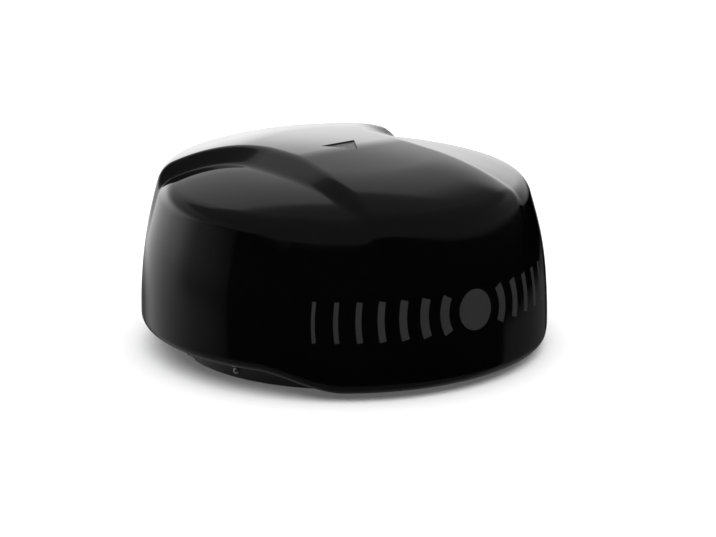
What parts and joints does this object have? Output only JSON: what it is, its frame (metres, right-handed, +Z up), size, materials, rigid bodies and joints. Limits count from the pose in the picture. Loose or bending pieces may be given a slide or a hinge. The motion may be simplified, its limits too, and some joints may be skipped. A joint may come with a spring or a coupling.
{
  "type": "radar dome antenna",
  "caption": "Marine radar dome: a gloss moulded cover with lowered front shoulders, screwed over a bolt-down base that holds a geared rotating patch antenna.",
  "frame": {"origin": "centre of the base's underside", "axes": "+Z up along the antenna's axis, -Y towards the bow"},
  "size_m": [0.509, 0.509, 0.2479],
  "materials": {
    "dome_shell": "gloss black",
    "base_shell": "satin black",
    "seal": "matt",
    "stainless_fasteners": "turned",
    "threaded_brass": "machined",
    "connector_shells": "moulded",
    "connector_blocks": "moulded",
    "cast_frame": "cast",
    "bearing_steel": "ground",
    "cage_brass": "pressed",
    "motor_case": "satin black",
    "turned_steel": "turned",
    "pinion_brass": "machined",
    "gear_plastic": "natural acetal",
    "joint_brass": "machined",
    "boards": "solder mask",
    "magnet": "nickel plated",
    "sheet_metal": "rolled",
    "foam": "rigid foam",
    "cap_plastic": "moulded",
    "ballast": "zinc grey",
    "cable_jacket": "extruded",
    "copper_coax": "copper-coloured"
  },
  "bodies": {
    "base": {"radome_cover": "dome_shell", "lower_housing": "base_shell", "rim_gasket": "seal", "cover_screw_01": "stainless_fasteners", "cover_screw_02": "stainless_fasteners", "cover_screw_03": "stainless_fasteners", "cover_screw_04": "stainless_fasteners", "cover_screw_05": "stainless_fasteners", "cover_screw_06": "stainless_fasteners", "cover_screw_07": "stainless_fasteners", "cover_screw_08": "stainless_fasteners", "cover_screw_09": "stainless_fasteners", "cover_screw_10": "stainless_fasteners", "chassis_screw_1": "stainless_fasteners", "chassis_screw_2": "stainless_fasteners", "chassis_screw_3": "stainless_fasteners", "chassis_screw_4": "stainless_fasteners", "motor_screw_1": "stainless_fasteners", "motor_screw_2": "stainless_fasteners", "mount_insert_1": "threaded_brass", "mount_insert_2": "threaded_brass", "mount_insert_3": "threaded_brass", "mount_insert_4": "threaded_brass", "power_connector": "connector_shells", "network_connector": "connector_shells", "breather_vent": "connector_shells", "power_contacts": "connector_blocks", "network_contacts": "connector_blocks", "chassis_plate": "cast_frame", "transceiver_case": "cast_frame", "lower_bearing_outer_race": "bearing_steel", "upper_bearing_outer_race": "bearing_steel", "drive_motor": "motor_case", "rotary_joint_stator": "joint_brass", "control_board": "boards", "index_sensor": "boards", "transceiver_lid": "sheet_metal", "power_harness": "cable_jacket", "network_harness": "cable_jacket", "feed_jumper": "copper_coax"},
    "antenna": {"lower_bearing_inner_race": "bearing_steel", "upper_bearing_inner_race": "bearing_steel", "main_gear": "gear_plastic", "antenna_shaft": "turned_steel", "shaft_clip": "turned_steel", "turntable_hub": "cast_frame", "rotary_joint_rotor": "joint_brass", "index_magnet": "magnet", "antenna_frame": "sheet_metal", "patch_array_board": "boards", "foam_core": "foam", "antenna_end_cap_left": "cap_plastic", "antenna_end_cap_right": "cap_plastic", "antenna_bracket": "sheet_metal", "balance_weight": "ballast", "feed_cable": "copper_coax"},
    "motor_rotor": {"motor_shaft": "turned_steel", "motor_pinion": "pinion_brass"},
    "lower_cage": {"lower_bearing_ball_cage": "cage_brass"},
    "upper_cage": {"upper_bearing_ball_cage": "cage_brass"}
  },
  "joints": [
    {"name": "antenna_spin", "type": "hinge", "parent": "base", "child": "antenna", "pos_m": [0, 0, 0.1], "axis": [0, 0, 1], "continuous": true},
    {"name": "motor_spin", "type": "hinge", "parent": "base", "child": "motor_rotor", "pos_m": [-0.12, 0, 0.07], "axis": [0, 0, 1], "continuous": true},
    {"name": "lower_cage_spin", "type": "hinge", "parent": "base", "child": "lower_cage", "pos_m": [0, 0, 0.0328], "axis": [0, 0, 1], "continuous": true},
    {"name": "upper_cage_spin", "type": "hinge", "parent": "base", "child": "upper_cage", "pos_m": [0, 0, 0.0552], "axis": [0, 0, 1], "continuous": true}
  ],
  "couplings": [
    {"joint": "motor_spin", "follows": "antenna_spin", "ratio": -4},
    {"joint": "lower_cage_spin", "follows": "antenna_spin", "ratio": 0.4256},
    {"joint": "upper_cage_spin", "follows": "antenna_spin", "ratio": 0.4256}
  ]
}
